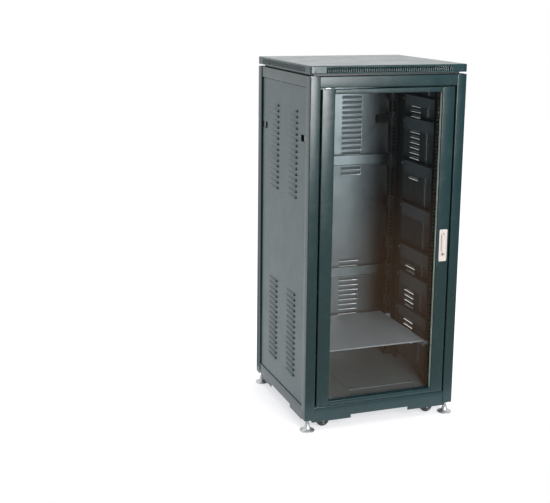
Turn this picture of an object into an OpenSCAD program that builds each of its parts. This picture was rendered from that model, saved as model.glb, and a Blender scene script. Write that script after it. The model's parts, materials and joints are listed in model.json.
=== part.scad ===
// Free-standing network cabinet with a glazed swing door, lift-off side and
// rear panels, 19-inch mounting rails, swivel casters and levelling feet.
// Origin: floor level, centre of the plan. Front faces -Y, +Z is up. Millimetres.

/* [Cabinet] */
// Overall width over the corner columns
cab_w = 600; // [560:10:800]
// Overall depth over the corner columns
cab_d = 550; // [500:10:1000]
// Height of the top of the corner columns above the floor
body_top = 1290; // [1290:1:1300]
// Height of the underside of the corner columns above the floor
body_bottom = 52; // [50:1:54]
// Thickness of the frame sheet
sheet = 2; // [1.5:0.5:2]
// Face width of a corner column
col_w = 38; // [38:1:40]
// Outer edge radius of a corner column
col_r = 4; // [2:1:6]

/* [Top cover] */
// Height of the raised top cover
cover_h = 28; // [24:1:36]
// Ventilation gap below the cover
neck_h = 8; // [6:1:12]
// Pitch of the vent slots in the cover skirt
vent_pitch = 8.5; // [8:0.5:10]
// Width of one vent slot
vent_w = 4.2; // [3:0.1:5]

/* [Door] */
// Half width of the door
door_hw = 255.5; // [255:0.5:256]
// Underside of the door
door_z0 = 95; // [95:1:96]
// Top of the door
door_z1 = 1246; // [1244:1:1246]
// Half width of the glazed opening
open_hw = 207; // [190:1:208]
// Width of the door's top and bottom rails
door_rail = 17; // [15:1:24]
// Thickness of the glass
glass_t = 4; // [4:0.5:4.5]

/* [Panels] */
// Pitch of the louvres
louvre_pitch = 20.7; // [18:0.1:24]
// Width of one louvre
louvre_w = 86; // [60:1:90]
// Louvres in each upper and lower group
louvre_n = 16; // [4:1:16]

/* [Running gear] */
// Diameter of a levelling foot's disc
foot_d = 55; // [50:1:55]
// Diameter of a caster wheel
wheel_d = 50; // [40:1:50]
// Height of the caster wheels above the floor while the feet carry the load
wheel_lift = 2; // [2:0.5:6]

/* [Rails] */
// Height units on the mounting rails
units = 25; // [10:1:25]

/* [Hidden] */
$fn = 48;

hw = cab_w / 2;              // half width
hd = cab_d / 2;              // half depth
cin = hw - col_w;            // inner edge of a column, across
cind = hd - col_w;           // inner edge of a column, along the depth
t = sheet;
rec = 2.5;                   // beams lie this far behind the column faces
panel_z0 = body_bottom + 39; // lower edge of the removable panels
panel_z1 = body_top - 41;    // upper edge of the removable panels
side_face = hw - 6;          // outer face of the side panels
rear_face = hd - 6;          // outer face of the rear panel
side_half = cind - 1.5;      // half length of a side panel
rear_half = cin - 1.5;       // half width of the rear panel
pt = 1.5;                    // panel sheet
latch_z = 1070;
u = 44.45;                   // one height unit
rail_z0 = 116.4;             // first height unit starts here
foot_x = hw - 18;
foot_y = hd - 21;
swivel_x = 201;
swivel_y = 229;
trail = 12.5;
axle_z = wheel_lift + wheel_d / 2;
hinge_x = -249;
hinge_y = -265;
lock_x = 233;
lock_z = 705;
plug_z = 632;
lever_y = -279;
// vertical extents of the depth rails
dr = [[1146, 1184], [1052, 1097], [878, 925], [706, 755], [534, 584], [420, 474], [291, 331]];
shell = [0.16, 0.26, 0.29];
dark = [0.10, 0.17, 0.19];
zinc = [0.78, 0.78, 0.76];

module bx(x0, x1, y0, y1, z0, z1) translate([x0, y0, z0]) cube([x1 - x0, y1 - y0, z1 - z0]);
module mx() { children(); mirror([1, 0, 0]) children(); }
module my() { children(); mirror([0, 1, 0]) children(); }
module ring(hx, z0, z1, w, y0, y1) difference() {
  bx(-hx, hx, y0, y1, z0, z1);
  bx(-hx + w, hx - w, y0 - 1, y1 + 1, z0 + w, z1 - w);
}

// Folded column section with its outer corner at the origin
module column_2d() {
  difference() {
    union() {
      translate([col_r, 0]) square([col_w - col_r, t]);
      translate([0, col_r]) square([t, col_w - col_r]);
      intersection() {
        square(col_r);
        difference() {
          translate([col_r, col_r]) circle(col_r);
          translate([col_r, col_r]) circle(col_r - t + 0.001);
        }
      }
    }
  }
}
module column_lips_2d() {
  translate([col_w - t, t]) square([t, 20 - t]);
  translate([col_w - 11.5, 18]) square([11.5 - t, t]);
  translate([t, col_w - t]) square([14 - t, t]);
}
// A pair of columns on the front edge
module columns() color(shell) mx() translate([-hw, -hd, body_bottom - 6]) {
  linear_extrude(body_top - body_bottom + 6) column_2d();
  translate([0, 0, 30]) linear_extrude(body_top - body_bottom - 24) column_lips_2d();
}
module front_columns() columns();
module rear_columns() mirror([0, 1, 0]) columns();

module top_cross_beams() color(shell) my() {
  bx(-cin, cin, -hd + rec, -hd + rec + t, body_top - 40, body_top);
  bx(-cin, cin, -hd + rec + t, -hd + 17, body_top - 40, body_top - 38);
  bx(-cin, cin, -hd + rec + t, -hd + 35, body_top - 4, body_top - 2);
}
module bottom_cross_beams() color(shell) my() {
  bx(-cin, cin, -hd + rec, -hd + rec + t, body_bottom - 4, body_bottom + 41);
  bx(-cin, cin, -hd + rec + t, -hd + 35, body_bottom + 39, body_bottom + 41);
}
module side_top_beams() color(shell) mx() {
  bx(-hw + rec, -hw + rec + t, -cind, cind, body_top - 40, body_top);
  bx(-hw + rec + t, -hw + 18, -cind, cind, body_top - 40, body_top - 38);
  bx(-hw + rec + t, -hw + 35, -cind, cind, body_top - 4, body_top - 2);
}
module side_bottom_beams() color(shell) mx() {
  bx(-hw + rec, -hw + rec + t, -cind, cind, body_bottom - 4, body_bottom + 38);
  bx(-hw + rec + t, -hw + 30, -cind, cind, body_bottom + 36, body_bottom + 38);
}
// Floor with a cable entry slot
module floor_plate() color(dark) difference() {
  union() {
    bx(-hw + 16, hw - 16, -cind + 1, cind - 1, body_bottom + 41, body_bottom + 43);
    bx(-cin + 1, cin - 1, -hd + 25, hd - 25, body_bottom + 41, body_bottom + 43);
    mx() bx(-hw + 16, -hw + 20, -cind + 1, cind - 1, body_bottom + 38, body_bottom + 41);
  }
  bx(-55, 175, -130, 130, body_bottom + 40, body_bottom + 44);
}
module cable_entry_cover() color(shell) bx(-76, 196, -158, 158, body_bottom + 43, body_bottom + 44.5);
// Roof with two fan positions, 105 mm square hole pattern
module roof_plate() color(dark) difference() {
  union() {
    bx(-hw + 16, hw - 16, -cind + 1, cind - 1, body_top - 2, body_top);
    bx(-cin + 1, cin - 1, -hd + 6, hd - 6, body_top - 2, body_top);
  }
  for (x = [-100, 100]) translate([x, 0, body_top - 5]) {
    cylinder(h = 10, r = 57);
    for (a = [-52.5, 52.5], b = [-52.5, 52.5]) translate([a, b, 0]) cylinder(h = 10, r = 2.25);
  }
}
module roof_spacer() color(dark) difference() {
  bx(-hw + 20, hw - 20, -hd + 20, hd - 20, body_top, body_top + neck_h);
  bx(-hw + 35, hw - 35, -hd + 35, hd - 35, body_top - 1, body_top + neck_h + 1);
}
// Shallow tray turned upside down, vented all round
module plan_2d(o, r) {
  translate([-hw + o + r, -hd + o]) square([cab_w - 2 * (o + r), cab_d - 2 * o]);
  translate([-hw + o, -hd + o + r]) square([cab_w - 2 * o, cab_d - 2 * (o + r)]);
  for (sx = [-1, 1], sy = [-1, 1]) translate([sx * (hw - o - r), sy * (hd - o - r)]) circle(r);
}
module top_cover() {
  zc = body_top + neck_h;
  nx = floor(476 / vent_pitch / 2);
  ny = floor(452 / vent_pitch / 2);
  color(shell) difference() {
    translate([0, 0, zc]) linear_extrude(cover_h) plan_2d(0, 4);
    translate([0, 0, zc + 1.5]) linear_extrude(cover_h - 3.5) plan_2d(1.5, 2.5);
    bx(-hw + 36, hw - 36, -hd + 36, hd - 36, zc - 1, zc + 3);
    mx() translate([-hw + 19, hd + 5, zc + 8]) rotate([90, 0, 0]) cylinder(h = cab_d + 10, r = 2.05);
    for (i = [-nx:nx]) bx(i * vent_pitch - vent_w / 2, i * vent_pitch + vent_w / 2, -hd - 1, hd + 1, zc + 3.5, zc + 22);
    for (i = [-ny:ny]) bx(-hw - 1, hw + 1, i * vent_pitch - vent_w / 2, i * vent_pitch + vent_w / 2, zc + 3.5, zc + 22);
  }
}
module cover_screws() color(zinc) {
  my() mx() translate([-hw + 19, -hd, body_top + neck_h + 8])
    rotate([90, 0, 0]) { cylinder(h = 1.6, r = 3.5); translate([0, 0, -6]) cylinder(h = 6, r = 2); }
  for (x = [-64, 184], y = [-144, 144]) translate([x, y, body_bottom + 44.5]) cylinder(h = 2.4, r = 4.5);
}

// Corner plates that carry the casters and the feet
module corner_base_plates() color(shell) my() mx() difference() {
  union() {
    bx(-hw + 4.5, -116, -hd + 4.5, -105, body_bottom + 20, body_bottom + 22);
    bx(-hw + 2, -cin - 0.3, -hd + 5.5, -cind - 0.3, body_bottom + 20, body_bottom + 22);
    bx(-hw + 5.5, -cin - 0.3, -hd + 2, -hd + 5.5, body_bottom + 20, body_bottom + 22);
    bx(-272, -116, -hd + 4.5, -hd + 6.5, body_bottom - 17, body_bottom + 20);
    bx(-hw + 4.5, -hw + 6.5, -cind + 8, -105, body_bottom - 17, body_bottom + 20);
  }
  translate([-foot_x, -foot_y, body_bottom]) cylinder(h = 40, r = 5.05);
}
// Horizontal members along the depth, with screw tabs on the columns
module depth_rails() color(dark) mx() for (d = dr) {
  z0 = d[0]; z1 = d[1]; zm = (z0 + z1) / 2;
  bx(-254, -252, -245, 245, z0, z1);
  bx(-272, -254, -245, 245, z0, z0 + 2);
  bx(-272, -254, -245, 245, z1 - 2, z1);
  my() {
    bx(-272, -254, -245, -243, z0 + 2, z1 - 2);
    bx(-272, -270, -253, -245, zm - 10, zm + 10);
    bx(-272, -264, -255, -253, zm - 10, zm + 10);
  }
}
module rear_crossbars() color(dark) for (z = [[888, 930], [424, 466]]) {
  bx(-252, 252, 241, 243, z[0], z[1]);
  bx(-252, 252, 225, 241, z[0], z[0] + 2);
  bx(-252, 252, 225, 241, z[1] - 2, z[1]);
}
// Square cage-nut holes, three to a height unit
module rail_flange(y0) translate([0, y0 + t, 0]) rotate([90, 0, 0]) linear_extrude(t) difference() {
  translate([-252, body_bottom + 45]) square([33, 1152]);
  for (i = [0:units - 1], k = [6.35, 22.225, 38.1])
    translate([-232.6 - 4.75, rail_z0 + i * u + k - 4.75]) square(9.5);
}
module front_mounting_rails() color(dark) mx() {
  rail_flange(-195);
  bx(-252, -250, -193, -150, body_bottom + 45, body_bottom + 1197);
}
module rear_mounting_rails() color(dark) mx() {
  rail_flange(158);
  bx(-252, -250, 104, 158, body_bottom + 45, body_bottom + 1197);
}
module shelf() color([0.62, 0.63, 0.64]) {
  bx(-216, 216, -197, 198, 274, 276);
  bx(-216, 216, -197, -195.5, 270, 274);
  bx(-216, 216, 196.5, 198, 270, 274);
  mx() {
    bx(-216, -214.5, -195.5, 196.5, 250, 274);
    bx(-241, -216, -197, -195, 258, 274);
    bx(-241, -216, 156, 158, 258, 274);
  }
}
module screw_head() rotate([90, 0, 0]) difference() {
  cylinder(h = 3, r = 5);
  translate([0, 0, 1.5]) bx(-3.5, 3.5, -0.6, 0.6, 0, 2);
  translate([0, 0, 1.5]) bx(-0.6, 0.6, -3.5, 3.5, 0, 2);
}
// Heads that hold the mounting rails and the shelf
module rail_screws() color(zinc) mx() for (d = dr) {
  translate([-244.5, -195, d[1] - 14]) screw_head();
  translate([-250, 112, d[1] - 14]) rotate([0, 0, 90]) screw_head();
}
module foot_nuts() color(zinc) my() mx() translate([-foot_x, -foot_y, body_bottom + 22]) difference() {
  rotate([0, 0, 30]) cylinder(h = 8, r = 9.1, $fn = 6);
  translate([0, 0, -1]) cylinder(h = 10, r = 5.05);
}
// Top plates of the casters
module caster_plates() color(zinc) my() mx() translate([-swivel_x, -swivel_y, body_bottom + 17]) difference() {
  bx(-26, 26, -26, 26, 0.5, 3);
  translate([0, 0, -1]) cylinder(h = 6, r = 4.05);
}
module hinge_brackets() color(zinc) {
  difference() {
    bx(-cin, -242, -272, -258, door_z1 + 1, door_z1 + 3.5);
    translate([hinge_x, hinge_y, door_z1]) cylinder(h = 6, r = 3);
  }
  difference() {
    bx(-cin, -242, -272, -258, door_z0 - 2, door_z0 - 0.6);
    translate([hinge_x, hinge_y, door_z0 - 4]) cylinder(h = 6, r = 3);
  }
}
module hinge_pins() color(zinc) {
  translate([hinge_x, hinge_y, door_z1 - 18]) cylinder(h = 21.5, r = 3);
  translate([hinge_x, hinge_y, door_z0 - 2]) cylinder(h = 20, r = 3);
}

// Door: folded front frame
module door_frame() {
  yf = -hd;
  color(shell) difference() {
    union() {
      difference() {
        bx(-door_hw, door_hw, yf, yf + 23, door_z0, door_z1);
        bx(-door_hw + 1.5, door_hw - 1.5, yf + 1.5, yf + 24, door_z0 + 1.5, door_z1 - 1.5);
        bx(-open_hw, open_hw, yf - 1, yf + 24, door_z0 + door_rail, door_z1 - door_rail);
      }
      difference() {
        bx(-open_hw - 1.5, open_hw + 1.5, yf, yf + 15, door_z0 + door_rail - 1.5, door_z1 - door_rail + 1.5);
        bx(-open_hw, open_hw, yf - 1, yf + 16, door_z0 + door_rail, door_z1 - door_rail);
      }
    }
    bx(lock_x - 12, lock_x + 12, yf - 1, yf + 3, 611, 719);
    translate([hinge_x, hinge_y, door_z1 - 5]) cylinder(h = 10, r = 3.3);
    translate([hinge_x, hinge_y, door_z0 - 5]) cylinder(h = 10, r = 3.3);
  }
}
module door_back_frame() color(dark) difference() {
  ring(door_hw - 1.5, door_z0 + 1.5, door_z1 - 1.5, door_hw - 1.5 - open_hw - 2, -254.5, -253);
  bx(-open_hw - 2, open_hw + 2, -256, -252, door_z0 + door_rail - 1.5, door_z1 - door_rail + 1.5);
  translate([lock_x, -240, lock_z]) rotate([90, 0, 0]) cylinder(h = 20, r = 8);
}
module door_glass() color([0.55, 0.57, 0.53, 0.35])
  bx(-open_hw - 10, open_hw + 10, -258.5, -258.5 + glass_t, door_z0 + door_rail - 9, door_z1 - door_rail + 9);
module glass_gasket() color([0.08, 0.08, 0.08]) difference() {
  bx(-open_hw - 8, open_hw + 8, -260, -258.5, door_z0 + door_rail - 7, door_z1 - door_rail + 7);
  bx(-open_hw - 0.2, open_hw + 0.2, -261, -258, door_z0 + door_rail - 0.2, door_z1 - door_rail + 0.2);
}
module hinge_bushes() color([0.85, 0.85, 0.82]) {
  for (z = [door_z1 - 21.5, door_z0 + 1.5]) translate([hinge_x, hinge_y, z]) difference() {
    cylinder(h = 20, r = 4.4);
    translate([0, 0, -1]) cylinder(h = 22, r = 3.05);
  }
}

// Swing-handle lock
module along_y(x, y0, y1, z, r) translate([x, y1, z]) rotate([90, 0, 0]) cylinder(h = y1 - y0, r = r);
module plate_2d(w, h, r) {
  translate([-w / 2 + r, -h / 2]) square([w - 2 * r, h]);
  translate([-w / 2, -h / 2 + r]) square([w, h - 2 * r]);
  for (a = [-1, 1], b = [-1, 1]) translate([a * (w / 2 - r), b * (h / 2 - r)]) circle(r);
}
module lock_housing() color([0.82, 0.80, 0.79]) difference() {
  union() {
    translate([lock_x, -275, 665]) rotate([90, 0, 0]) linear_extrude(1.5) plate_2d(32, 120, 4);
    bx(lock_x - 11, lock_x + 11, -275, -256, 612, 718);
  }
  along_y(lock_x, -280, -250, lock_z, 6.05);
  along_y(lock_x, -280, -250, plug_z, 6.05);
}
module lock_spindle() color(zinc) {
  along_y(lock_x, -276.2, -251.5, lock_z, 6);
  along_y(lock_x, -251.5, -247, lock_z, 4);
  difference() {
    union() {
      bx(lock_x - 2.5, lock_x + 2.5, lever_y, -276.2, lock_z - 2.2, lock_z + 2.2);
      translate([lock_x - 2.5, lever_y, lock_z]) rotate([0, 90, 0]) cylinder(h = 5, r = 2.2);
    }
    translate([lock_x - 3, lever_y, lock_z]) rotate([0, 90, 0]) cylinder(h = 6, r = 1.25);
  }
}
module lock_cam() color(zinc) difference() {
  union() {
    along_y(lock_x, -251.5, -249, lock_z, 9);
    bx(lock_x - 7, lock_x + 7, -251.5, -249, lock_z, lock_z + 36);
  }
  along_y(lock_x, -252, -248, lock_z, 4);
}
module lock_lever() color([0.86, 0.84, 0.83]) difference() {
  union() {
    bx(lock_x - 7.5, lock_x + 7.5, lever_y - 2.2, lever_y + 2.2, 649, 701);
    translate([lock_x - 7.5, lever_y - 2.2, 649]) mirror([0, 0, 1]) bx(0, 15, 0, 4.4, 0, 4);
    for (x = [lock_x - 7.5, lock_x + 2.8]) {
      bx(x, x + 4.7, lever_y - 2.2, lever_y + 2.2, 700.9, lock_z);
      translate([x, lever_y, lock_z]) rotate([0, 90, 0]) cylinder(h = 4.7, r = 2.2);
    }
  }
  translate([lock_x - 9, lever_y, lock_z]) rotate([0, 90, 0]) cylinder(h = 18, r = 1.2);
}
module lever_pin() color(zinc) translate([lock_x - 7.3, lever_y, lock_z]) rotate([0, 90, 0]) cylinder(h = 14.6, r = 1.2);
module lock_plug() color(zinc) difference() {
  along_y(lock_x, -277.6, -257.5, plug_z, 6);
  bx(lock_x - 0.6, lock_x + 0.6, -278, -274, plug_z - 3.5, plug_z + 3.5);
}

// Louvred lift-off panel, outer face at y = 0, facing -Y
module louvre_hood() rotate([90, 0, 90]) translate([0, 0, -louvre_w / 2]) linear_extrude(louvre_w)
  polygon([[0.6, 7.7], [0.6, 6], [0, 6], [-4.3, -5], [-5.5, -5], [-0.7, 7.2], [0, 7.7]]);
module panel(half, cx, td, z0 = panel_z0) {
  rows = [for (g = [174, 848], i = [0:louvre_n - 1]) g + i * louvre_pitch];
  color(shell) difference() {
    union() {
      difference() {
        bx(-half, half, 0, 8, z0, panel_z1);
        bx(-half + pt, half - pt, pt, 9, z0 + pt, panel_z1 - pt);
        for (z = rows, x = [-cx, cx]) bx(x - louvre_w / 2, x + louvre_w / 2, -1, pt + 0.5, z - 5, z + 6);
      }
      for (z = rows, x = [-cx, cx]) translate([x, 0, z]) louvre_hood();
      bx(-13, -11.5, pt, 6, panel_z0 + 30, panel_z1 - 30);
      bx(11.5, 13, pt, 6, panel_z0 + 30, panel_z1 - 30);
      bx(-11.5, 11.5, 4.5, 6, panel_z0 + 30, panel_z1 - 30);
    }
    mx() bx(-half + 4, -half + 56, -1, pt + 0.5, latch_z - 12, latch_z + 12);
  }
}
// Latch guide on the left edge of a panel; the slide moves towards -X
module latch_guide(half, td) color([0.05, 0.06, 0.06]) difference() {
  bx(-half + 2, -half + 60, pt, td + 5, latch_z - 17, latch_z + 17);
  bx(-half + 4.5, -half + 57.5, pt - 1, td + 3, latch_z - 12, latch_z + 12);
  bx(-half + 1, -half + 5, td - 0.3, td + 2.8, latch_z - 8.5, latch_z + 8.5);
}
module latch_slider(half, td) color([0.45, 0.47, 0.48]) {
  bx(-half + 1.5, -half + 32, td, td + 2.5, latch_z - 8, latch_z + 8);
  bx(-half + 14, -half + 30, 1, td, latch_z - 11, latch_z + 11);
}
module on_left() translate([-side_face, 0, 0]) rotate([0, 0, -90]) children();
module on_right() translate([side_face, 0, 0]) rotate([0, 0, 90]) children();
module on_rear() translate([0, rear_face, 0]) rotate([0, 0, 180]) children();
std = 10;    // depth of the latch tongue behind a side panel's face
rtd = 16.2;    // and behind the rear panel's face
module side_panel_left() on_left() panel(side_half, 97, std);
module side_panel_right() on_right() panel(side_half, 97, std);
module rear_panel() on_rear() panel(rear_half, 97, rtd, panel_z0 + 3);
module latch_guides_left() on_left() mx() latch_guide(side_half, std);
module latch_guides_right() on_right() mx() latch_guide(side_half, std);
module latch_guides_rear() on_rear() mx() latch_guide(rear_half, rtd);
module latch_slider_lr() on_left() latch_slider(side_half, std);
module latch_slider_lf() on_left() mirror([1, 0, 0]) latch_slider(side_half, std);
module latch_slider_rf() on_right() latch_slider(side_half, std);
module latch_slider_rr() on_right() mirror([1, 0, 0]) latch_slider(side_half, std);
module latch_slider_br() on_rear() latch_slider(rear_half, rtd);
module latch_slider_bl() on_rear() mirror([1, 0, 0]) latch_slider(rear_half, rtd);

// Levelling foot: disc, cone and stud in one turned piece
module foot(sx, sy) color(zinc) translate([sx * foot_x, sy * foot_y, 0]) rotate_extrude()
  polygon([[0, 0], [foot_d / 2 - 1, 0], [foot_d / 2, 1], [foot_d / 2, 4], [foot_d / 2 - 3, 6.5],
    [14, 10], [9, 18], [7, 24], [7, 29], [5, 29], [5, 92], [4, 93], [0, 93]]);
module foot_fl() foot(-1, -1);
module foot_fr() foot(1, -1);
module foot_rl() foot(-1, 1);
module foot_rr() foot(1, 1);

// Caster: swivelling fork and wheel
module fork(sx, sy) color(zinc) translate([sx * swivel_x, sy * swivel_y, 0]) mirror([sx < 0 ? 1 : 0, 0, 0]) {
  zt = body_bottom + 17.5;
  translate([0, 0, zt - 3]) cylinder(h = 2.7, r = 17);
  translate([0, 0, zt - 0.3]) cylinder(h = 2.5, r = 4);
  difference() {
    union() {
      bx(-9, trail + 7, -14, 14, zt - 5.5, zt - 3);
      for (y = [-14, 12]) {
        bx(-9, trail + 7, y, y + 2, axle_z + 12, zt - 5.5);
        bx(trail - 9, trail + 7, y, y + 2, axle_z, axle_z + 12);
        translate([trail, y + 2, axle_z]) rotate([90, 0, 0]) cylinder(h = 2, r = 8);
      }
    }
  }
  translate([trail, 15.5, axle_z]) rotate([90, 0, 0]) cylinder(h = 31, r = 3.5);
}
module caster_fork_fl() fork(-1, -1);
module caster_fork_fr() fork(1, -1);
module caster_fork_rl() fork(-1, 1);
module caster_fork_rr() fork(1, 1);
module wheel(sx, sy) translate([sx * (swivel_x + trail), sy * swivel_y, axle_z]) rotate([90, 0, 0])
  color([0.06, 0.06, 0.07]) rotate_extrude()
  polygon([[3.55, -11], [7, -11], [8, -9.5], [16, -8], [18, -10], [22, -10.5], [wheel_d / 2 - 0.8, -8], [wheel_d / 2, -4],
    [wheel_d / 2, 4], [wheel_d / 2 - 0.8, 8], [22, 10.5], [18, 10], [16, 8], [8, 9.5], [7, 11], [3.55, 11]]);
module caster_wheel_fl() wheel(-1, -1);
module caster_wheel_fr() wheel(1, -1);
module caster_wheel_rl() wheel(-1, 1);
module caster_wheel_rr() wheel(1, 1);

front_columns();
rear_columns();
top_cross_beams();
bottom_cross_beams();
side_top_beams();
side_bottom_beams();
floor_plate();
cable_entry_cover();
roof_plate();
roof_spacer();
top_cover();
corner_base_plates();
depth_rails();
rear_crossbars();
front_mounting_rails();
rear_mounting_rails();
shelf();
rail_screws();
cover_screws();
foot_nuts();
caster_plates();
hinge_brackets();
hinge_pins();
door_frame();
door_back_frame();
door_glass();
glass_gasket();
hinge_bushes();
lock_housing();
lock_spindle();
lock_cam();
lock_lever();
lever_pin();
lock_plug();
side_panel_left();
side_panel_right();
rear_panel();
latch_guides_left();
latch_guides_right();
latch_guides_rear();
latch_slider_lf();
latch_slider_lr();
latch_slider_rf();
latch_slider_rr();
latch_slider_bl();
latch_slider_br();
foot_fl();
foot_fr();
foot_rl();
foot_rr();
caster_fork_fl();
caster_fork_fr();
caster_fork_rl();
caster_fork_rr();
caster_wheel_fl();
caster_wheel_fr();
caster_wheel_rl();
caster_wheel_rr();
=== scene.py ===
import bpy
import bmesh
import json
import math
from mathutils import Matrix, Vector


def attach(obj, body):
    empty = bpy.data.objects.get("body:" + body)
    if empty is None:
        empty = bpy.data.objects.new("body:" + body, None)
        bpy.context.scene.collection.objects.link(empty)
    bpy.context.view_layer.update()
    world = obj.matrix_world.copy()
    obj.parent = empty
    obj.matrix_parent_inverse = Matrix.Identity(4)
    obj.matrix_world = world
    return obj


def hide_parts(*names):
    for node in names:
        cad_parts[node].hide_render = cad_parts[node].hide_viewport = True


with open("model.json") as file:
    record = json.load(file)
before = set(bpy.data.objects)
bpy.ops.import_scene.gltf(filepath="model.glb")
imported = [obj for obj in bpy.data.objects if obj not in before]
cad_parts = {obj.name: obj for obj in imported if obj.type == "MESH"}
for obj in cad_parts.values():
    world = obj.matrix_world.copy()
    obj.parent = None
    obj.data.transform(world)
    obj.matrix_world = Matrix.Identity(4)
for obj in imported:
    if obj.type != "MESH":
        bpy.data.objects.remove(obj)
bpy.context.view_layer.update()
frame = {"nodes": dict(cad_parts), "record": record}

PI = math.pi
HW, HD = 300.0, 275.0
BT = 1290.0      # top of the columns
BB = 46.0        # underside of the columns
BODY = {}
for b, ns in frame["record"]["behaviour"]["bodies"].items():
    for n in ns:
        BODY[n] = b

# ----------------------------------------------------------------------------
# camera and light
# ----------------------------------------------------------------------------
scene = bpy.context.scene
CAM = dict(c=(-1.5926, -3.5458, 1.5704), yaw=19.675, pitch=11.801, roll=0.596, f=1035.2, cx=275.0, cy=208.0)


def make_camera():
    yw, pt, rl = (math.radians(CAM[k]) for k in ("yaw", "pitch", "roll"))
    fwd = Vector((math.sin(yw) * math.cos(pt), math.cos(yw) * math.cos(pt), -math.sin(pt)))
    right = Vector((math.cos(yw), -math.sin(yw), 0))
    up = right.cross(fwd)
    r2 = right * math.cos(rl) + up * math.sin(rl)
    u2 = up * math.cos(rl) - right * math.sin(rl)
    cam = bpy.data.cameras.new("camera")
    o = bpy.data.objects.new("camera", cam)
    scene.collection.objects.link(o)
    m = Matrix((r2, u2, -fwd)).transposed().to_4x4()
    m.translation = Vector(CAM["c"])
    o.matrix_world = m
    cam.sensor_fit = "HORIZONTAL"
    cam.sensor_width = 36
    cam.lens = CAM["f"] / 550 * 36
    cam.shift_x = (275 - CAM["cx"]) / 550
    cam.shift_y = (CAM["cy"] - 251.5) / 550
    cam.clip_start, cam.clip_end = 0.05, 100
    cam.dof.use_dof = False
    scene.camera = o


make_camera()
scene.view_settings.view_transform = "Standard"
scene.view_settings.look = "None"


def area(name, loc, target, size, power, color=(1, 1, 1), size_y=None, spread=180):
    l = bpy.data.lights.new(name, "AREA")
    l.energy = power
    l.color = color
    l.size = size
    if size_y:
        l.shape = "RECTANGLE"
        l.size_y = size_y
    l.spread = math.radians(spread)
    o = bpy.data.objects.new(name, l)
    scene.collection.objects.link(o)
    o.location = loc
    o.rotation_euler = (Vector(target) - Vector(loc)).to_track_quat("-Z", "Y").to_euler()
    return o


def make_world():
    w = bpy.data.worlds.new("studio")
    scene.world = w
    w.use_nodes = True
    nt = w.node_tree
    nt.nodes.clear()
    out = nt.nodes.new("ShaderNodeOutputWorld")
    bg_cam = nt.nodes.new("ShaderNodeBackground")
    bg_cam.inputs["Color"].default_value = (1, 1, 1, 1)
    bg_cam.inputs["Strength"].default_value = 1.0
    bg = nt.nodes.new("ShaderNodeBackground")
    lp = nt.nodes.new("ShaderNodeLightPath")
    mix = nt.nodes.new("ShaderNodeMixShader")
    tc = nt.nodes.new("ShaderNodeTexCoord")
    sep = nt.nodes.new("ShaderNodeSeparateXYZ")
    nt.links.new(tc.outputs["Generated"], sep.inputs[0])

    def ramp(sock, a, b, lo, hi):
        n = nt.nodes.new("ShaderNodeMapRange")
        n.interpolation_type = "SMOOTHSTEP"
        n.inputs["From Min"].default_value = a
        n.inputs["From Max"].default_value = b
        n.inputs["To Min"].default_value = lo
        n.inputs["To Max"].default_value = hi
        nt.links.new(sock, n.inputs["Value"])
        return n.outputs["Result"]

    def math2(op, a, b):
        n = nt.nodes.new("ShaderNodeMath")
        n.operation = op
        for i, v in enumerate((a, b)):
            if isinstance(v, float):
                n.inputs[i].default_value = v
            else:
                nt.links.new(v, n.inputs[i])
        return n.outputs[0]

    # behind the object, to its left and overhead: a white sweep; in front: a dark room over a brown floor
    back = ramp(sep.outputs["Y"], -0.55, -0.10, 0.0, 1.0)
    high = ramp(sep.outputs["Z"], 0.45, 0.85, 0.0, 1.0)
    white = math2("MAXIMUM", back, high)
    low = ramp(sep.outputs["Z"], -0.27, -0.15, 1.0, 0.0)
    room = nt.nodes.new("ShaderNodeMix")
    room.data_type = "RGBA"
    room.inputs["A"].default_value = (0.06, 0.066, 0.07, 1)
    room.inputs["B"].default_value = (0.50, 0.30, 0.18, 1)
    nt.links.new(low, room.inputs["Factor"])
    col = nt.nodes.new("ShaderNodeMix")
    col.data_type = "RGBA"
    nt.links.new(room.outputs["Result"], col.inputs["A"])
    col.inputs["B"].default_value = (1.0, 1.0, 1.0, 1)
    nt.links.new(white, col.inputs["Factor"])
    nt.links.new(col.outputs["Result"], bg.inputs["Color"])
    bg.inputs["Strength"].default_value = 1.05
    nt.links.new(lp.outputs["Is Camera Ray"], mix.inputs["Fac"])
    nt.links.new(bg.outputs[0], mix.inputs[1])
    nt.links.new(bg_cam.outputs[0], mix.inputs[2])
    nt.links.new(mix.outputs[0], out.inputs[0])


make_world()
KEY = area("key", (0.40, -3.30, 1.62), (0.40, 0.0, 1.62), 1.25, 125, (1.0, 0.995, 0.985), 1.85)
area("top", (-0.3, 0.4, 3.6), (0, 0, 0.6), 2.2, 26, (1.0, 1.0, 1.0), 2.2)

# ----------------------------------------------------------------------------
# materials
# ----------------------------------------------------------------------------
MATS = {}


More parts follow.
